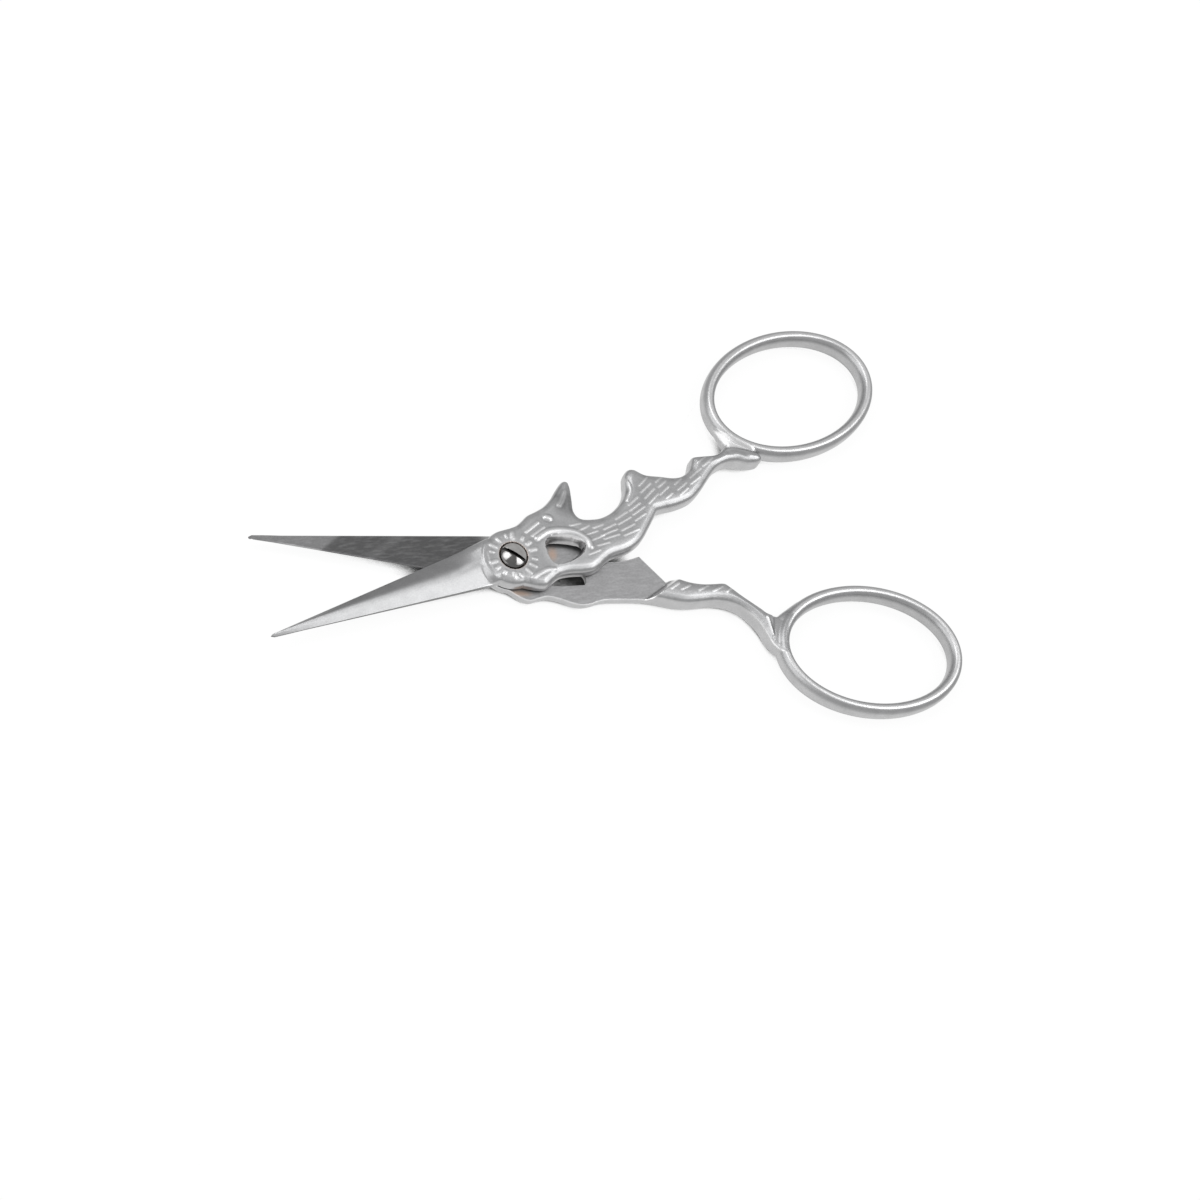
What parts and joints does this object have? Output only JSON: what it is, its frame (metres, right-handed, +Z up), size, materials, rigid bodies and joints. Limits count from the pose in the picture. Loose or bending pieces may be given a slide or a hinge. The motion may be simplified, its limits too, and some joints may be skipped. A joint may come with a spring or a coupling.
{
  "type": "embroidery_scissors",
  "caption": "Small steel embroidery scissors with an animal-shaped handle, slender pointed blades, oval finger rings and a slotted pivot screw",
  "frame": {"origin": "Under the middle of the scissors' bounding box, on the table they lie on", "axes": "+X from the blade tips to the finger rings, along the middle of the angle between the two halves. +Z up, along the pivot screw from its threaded end to its head. +Y towards the front half's finger ring"},
  "size_m": [0.0966, 0.0604, 0.0048],
  "materials": {
    "front_steel": "satin, bead blasted, with polished edges",
    "rear_steel": "satin, with dull ground inner faces",
    "screw_chrome": "polished"
  },
  "bodies": {
    "rear": {"rear_half": "rear_steel", "pivot_screw": "screw_chrome"},
    "front": {"front_half": "front_steel"}
  },
  "joints": [
    {"name": "blade_pivot", "type": "hinge", "parent": "rear", "child": "front", "pos_m": [-0.01325, 0, 0.0022], "axis": [0, 0, 1], "range_deg": [-23.75, 96.25]}
  ]
}
